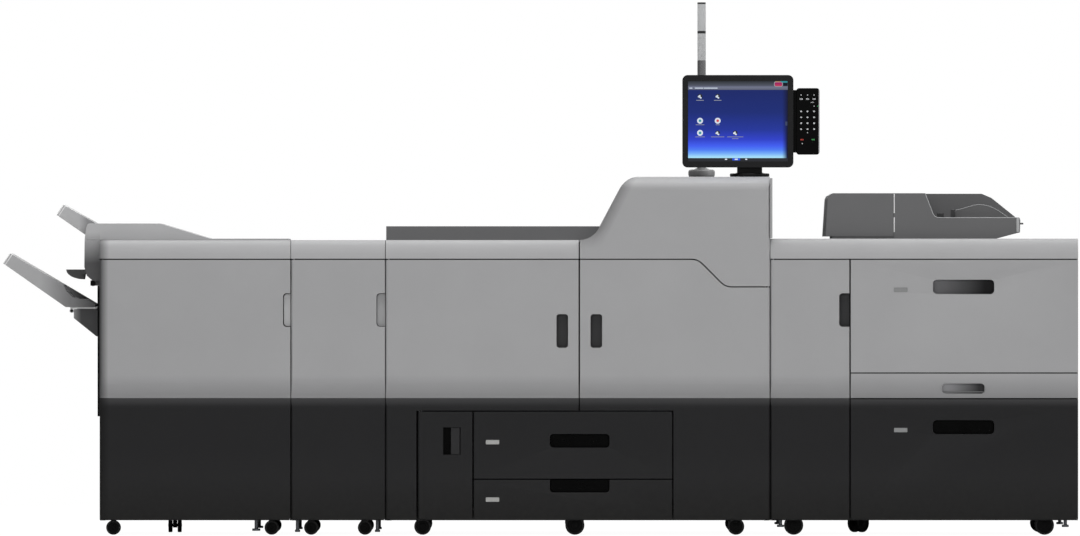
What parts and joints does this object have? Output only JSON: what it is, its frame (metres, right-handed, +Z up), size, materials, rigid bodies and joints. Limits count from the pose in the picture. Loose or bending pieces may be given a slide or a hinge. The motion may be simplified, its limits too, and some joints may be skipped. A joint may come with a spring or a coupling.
{
  "type": "digital production printer",
  "caption": "Modular digital production printer with an output finisher, pass-through unit, print engine with touch panel and signal light, and a large sheet feeder with a document feeder.",
  "frame": {"origin": "on the floor, at the middle of the machine's overall length and depth", "axes": "+X from the finisher to the sheet feeder, +Y from the doors to the back, +Z up"},
  "size_m": [3.702, 0.91, 1.837],
  "materials": {
    "light": "fine textured moulded plastic",
    "dark": "fine textured moulded plastic",
    "panel_grey": "matt moulded plastic",
    "black": "satin moulded plastic",
    "frame_steel": "powder coated sheet steel",
    "zinc_steel": "zinc plated",
    "screen": "lit touch screen under glass",
    "lens": "frosted lens",
    "platen": "clear float glass",
    "wheel": "moulded caster tread"
  },
  "bodies": {
    "machine": {"engine_frame": "frame_steel", "left_top_cover": "light", "rear_deck": "panel_grey", "hump_shell": "light", "toner_bottles": "black", "imaging_unit": "dark", "transfer_unit": "black", "fuser_unit": "black", "power_unit": "black", "panel_stand": "black", "beacon_base": "black", "beacon_pole": "black", "beacon_lenses": "lens", "finisher_frame": "frame_steel", "exit_head": "dark", "lift_rails": "black", "stapler_unit": "zinc_steel", "pass_frame": "frame_steel", "feeder_frame": "frame_steel", "feeder_top_cover": "light", "platen_glass": "platen", "caster_forks": "zinc_steel", "levelling_feet": "zinc_steel"},
    "toner_cover": {"toner_cover": "light"},
    "left_front_door": {"left_front_door": "light"},
    "right_front_door": {"right_front_door": "light"},
    "service_door": {"service_door": "dark"},
    "service_latch": {"service_latch": "black"},
    "upper_paper_tray": {"upper_paper_tray": "dark"},
    "lower_paper_tray": {"lower_paper_tray": "dark"},
    "panel_neck": {"panel_neck": "black"},
    "panel_housing": {"panel_housing": "black", "panel_screen": "screen", "keypad": "black"},
    "finisher_hood": {"finisher_hood": "light", "proof_tray": "light"},
    "finisher_door": {"finisher_door": "light"},
    "exit_flap": {"exit_flap": "black"},
    "exit_roller": {"exit_roller": "black"},
    "shift_tray": {"shift_tray": "light"},
    "tray_carriage": {"tray_carriage": "dark"},
    "pass_door": {"pass_door": "light"},
    "feeder_door": {"feeder_door": "light"},
    "feeder_upper_drawer": {"feeder_upper_drawer": "light"},
    "feeder_middle_drawer": {"feeder_middle_drawer": "light"},
    "feeder_lower_drawer": {"feeder_lower_drawer": "light"},
    "document_feeder": {"document_feeder": "panel_grey"},
    "document_cover": {"document_cover": "panel_grey"},
    "document_tray": {"document_tray": "dark"},
    "finisher_wheels_left": {"finisher_wheels_left": "wheel"},
    "finisher_wheels_middle": {"finisher_wheels_middle": "wheel"},
    "finisher_wheels_right": {"finisher_wheels_right": "wheel"},
    "pass_wheels_left": {"pass_wheels_left": "wheel"},
    "pass_wheels_right": {"pass_wheels_right": "wheel"},
    "engine_wheels_left": {"engine_wheels_left": "wheel"},
    "engine_wheels_middle": {"engine_wheels_middle": "wheel"},
    "engine_wheels_right": {"engine_wheels_right": "wheel"},
    "feeder_wheels_left": {"feeder_wheels_left": "wheel"},
    "feeder_wheels_middle": {"feeder_wheels_middle": "wheel"},
    "feeder_wheels_right": {"feeder_wheels_right": "wheel"}
  },
  "joints": [
    {"name": "toner_cover_hinge", "type": "hinge", "parent": "machine", "child": "toner_cover", "pos_m": [0.781, -0.445, 1], "axis": [0, 0, 1], "range_deg": [0, 90]},
    {"name": "left_front_door_hinge", "type": "hinge", "parent": "machine", "child": "left_front_door", "pos_m": [-0.519, -0.445, 0.5], "axis": [0, 0, -1], "range_deg": [0, 90]},
    {"name": "right_front_door_hinge", "type": "hinge", "parent": "machine", "child": "right_front_door", "pos_m": [0.781, -0.445, 0.5], "axis": [0, 0, 1], "range_deg": [0, 90]},
    {"name": "service_door_hinge", "type": "hinge", "parent": "machine", "child": "service_door", "pos_m": [-0.41, -0.445, 0.25], "axis": [0, 0, -1], "range_deg": [0, 90]},
    {"name": "service_latch_pivot", "type": "hinge", "parent": "service_door", "child": "service_latch", "pos_m": [-0.277, -0.4465, 0.32], "axis": [0, 0, 1], "range_deg": [0, 25], "stiffness_Nm_per_rad": 0.2},
    {"name": "upper_paper_tray_slide", "type": "slide", "parent": "machine", "child": "upper_paper_tray", "axis": [0, -1, 0], "range_m": [0, 0.4]},
    {"name": "lower_paper_tray_slide", "type": "slide", "parent": "machine", "child": "lower_paper_tray", "axis": [0, -1, 0], "range_m": [0, 0.4]},
    {"name": "feeder_upper_drawer_slide", "type": "slide", "parent": "machine", "child": "feeder_upper_drawer", "axis": [0, -1, 0], "range_m": [0, 0.46]},
    {"name": "feeder_middle_drawer_slide", "type": "slide", "parent": "machine", "child": "feeder_middle_drawer", "axis": [0, -1, 0], "range_m": [0, 0.46]},
    {"name": "feeder_lower_drawer_slide", "type": "slide", "parent": "machine", "child": "feeder_lower_drawer", "axis": [0, -1, 0], "range_m": [0, 0.46]},
    {"name": "panel_swivel", "type": "hinge", "parent": "machine", "child": "panel_neck", "pos_m": [0.723, -0.33, 1.26], "axis": [0, 0, 1], "range_deg": [-30, 30]},
    {"name": "panel_tilt", "type": "hinge", "parent": "panel_neck", "child": "panel_housing", "pos_m": [0.723, -0.345, 1.3], "axis": [1, 0, 0], "range_deg": [-25, 5]},
    {"name": "finisher_hood_hinge", "type": "hinge", "parent": "machine", "child": "finisher_hood", "pos_m": [-1.185, 0.253, 1.03], "axis": [-1, 0, 0], "range_deg": [0, 60]},
    {"name": "finisher_door_hinge", "type": "hinge", "parent": "machine", "child": "finisher_door", "pos_m": [-1.503, -0.441, 0.5], "axis": [0, 0, -1], "range_deg": [0, 90]},
    {"name": "tray_lift", "type": "slide", "parent": "machine", "child": "tray_carriage", "axis": [0, 0, 1], "range_m": [-0.26, 0]},
    {"name": "shift_tray_slide", "type": "slide", "parent": "tray_carriage", "child": "shift_tray", "axis": [0, 1, 0], "range_m": [-0.015, 0.015]},
    {"name": "exit_flap_hinge", "type": "hinge", "parent": "machine", "child": "exit_flap", "pos_m": [-1.575, -0.086, 0.905], "axis": [0, 1, 0], "range_deg": [0, 35]},
    {"name": "exit_roller_spin", "type": "hinge", "parent": "machine", "child": "exit_roller", "pos_m": [-1.537, -0.086, 0.865], "axis": [0, 1, 0], "continuous": true},
    {"name": "pass_door_hinge", "type": "hinge", "parent": "machine", "child": "pass_door", "pos_m": [-0.845, -0.441, 0.5], "axis": [0, 0, -1], "range_deg": [0, 90]},
    {"name": "feeder_door_hinge", "type": "hinge", "parent": "machine", "child": "feeder_door", "pos_m": [0.803, -0.441, 0.5], "axis": [0, 0, -1], "range_deg": [0, 90]},
    {"name": "document_feeder_hinge", "type": "hinge", "parent": "machine", "child": "document_feeder", "pos_m": [1.317, 0.127, 1.035], "axis": [-1, 0, 0], "range_deg": [0, 70]},
    {"name": "document_cover_hinge", "type": "hinge", "parent": "document_feeder", "child": "document_cover", "pos_m": [0.993, -0.391, 1.0364], "axis": [0, -1, 0], "range_deg": [0, 70]},
    {"name": "document_tray_hinge", "type": "hinge", "parent": "document_feeder", "child": "document_tray", "pos_m": [1.3844, -0.391, 1.08438], "axis": [0, -1, 0], "range_deg": [0, 30]},
    {"name": "finisher_wheels_left_spin", "type": "hinge", "parent": "machine", "child": "finisher_wheels_left", "pos_m": [-1.467, -0.371, 0.025], "axis": [0, 1, 0], "continuous": true},
    {"name": "finisher_wheels_middle_spin", "type": "hinge", "parent": "machine", "child": "finisher_wheels_middle", "pos_m": [-1.267, 0.199, 0.025], "axis": [-1, 0, 0], "continuous": true},
    {"name": "finisher_wheels_right_spin", "type": "hinge", "parent": "machine", "child": "finisher_wheels_right", "pos_m": [-0.922, -0.371, 0.025], "axis": [0, 1, 0], "continuous": true},
    {"name": "pass_wheels_left_spin", "type": "hinge", "parent": "machine", "child": "pass_wheels_left", "pos_m": [-0.786, -0.371, 0.025], "axis": [0, 1, 0], "continuous": true},
    {"name": "pass_wheels_right_spin", "type": "hinge", "parent": "machine", "child": "pass_wheels_right", "pos_m": [-0.601, -0.371, 0.025], "axis": [0, 1, 0], "continuous": true},
    {"name": "engine_wheels_left_spin", "type": "hinge", "parent": "machine", "child": "engine_wheels_left", "pos_m": [-0.403, -0.375, 0.029], "axis": [0, 1, 0], "continuous": true},
    {"name": "engine_wheels_middle_spin", "type": "hinge", "parent": "machine", "child": "engine_wheels_middle", "pos_m": [0.121, -0.375, 0.033], "axis": [0, 1, 0], "continuous": true},
    {"name": "engine_wheels_right_spin", "type": "hinge", "parent": "machine", "child": "engine_wheels_right", "pos_m": [0.675, -0.375, 0.029], "axis": [0, 1, 0], "continuous": true},
    {"name": "feeder_wheels_left_spin", "type": "hinge", "parent": "machine", "child": "feeder_wheels_left", "pos_m": [0.874, -0.371, 0.033], "axis": [0, 1, 0], "continuous": true},
    {"name": "feeder_wheels_middle_spin", "type": "hinge", "parent": "machine", "child": "feeder_wheels_middle", "pos_m": [1.107, 0.199, 0.033], "axis": [-0.766, 0.6428, 0], "continuous": true},
    {"name": "feeder_wheels_right_spin", "type": "hinge", "parent": "machine", "child": "feeder_wheels_right", "pos_m": [1.737, -0.371, 0.033], "axis": [0, 1, 0], "continuous": true}
  ]
}
